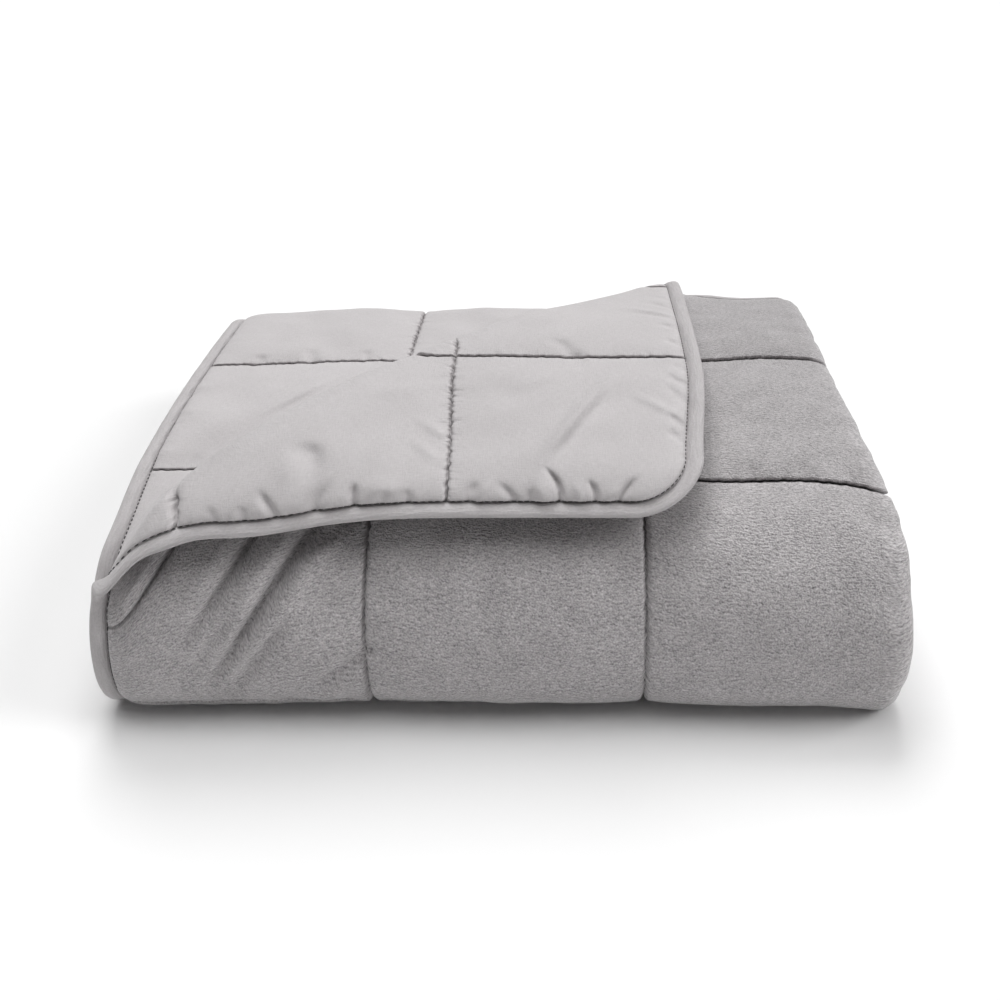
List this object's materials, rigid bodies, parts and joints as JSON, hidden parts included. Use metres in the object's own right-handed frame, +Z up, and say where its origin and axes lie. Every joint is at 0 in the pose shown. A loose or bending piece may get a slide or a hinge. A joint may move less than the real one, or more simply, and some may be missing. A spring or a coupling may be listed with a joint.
{
  "type": "weighted blanket",
  "caption": "Quilted weighted blanket with a plush face, a smooth woven face and a bound edge, folded in half and then in three, one corner turned back to show the woven face.",
  "frame": {"origin": "centre of the bounding box's footprint, on the surface that the folded blanket lies on", "axes": "+X towards the half fold, the rounded right-hand side in the picture; +Y from the front bend towards the back; +Z up, out of the stack of layers"},
  "size_m": [0.4574, 0.4282, 0.1449],
  "materials": {
    "plush_fabric": "short velvety pile with a soft sheen, mid grey",
    "woven_fabric": "smooth matt plain weave, light grey"
  },
  "bodies": {
    "root": {"quilt": "plush_fabric", "binding": "woven_fabric"}
  },
  "joints": []
}
